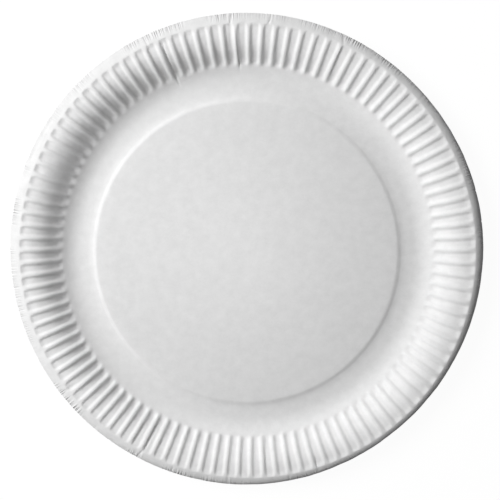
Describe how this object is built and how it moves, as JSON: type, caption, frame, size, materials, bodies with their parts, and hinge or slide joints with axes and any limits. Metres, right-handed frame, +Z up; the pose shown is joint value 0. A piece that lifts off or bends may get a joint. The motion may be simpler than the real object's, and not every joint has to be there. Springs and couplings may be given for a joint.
{
  "type": "paper plate",
  "caption": "Round white disposable plate pressed from board, with a raised flat centre, a sloping wall of fine radial flutes and a smooth turned-down lip.",
  "frame": {"origin": "centre of the plate on the surface that it stands on, level with the underside of its resting ring", "axes": "+Z up along the plate's axis of symmetry; a flute lies on the +X axis"},
  "size_m": [0.23, 0.23, 0.014],
  "materials": {
    "board": "matte uncoated white board"
  },
  "bodies": {
    "root": {"plate": "board"}
  },
  "joints": []
}
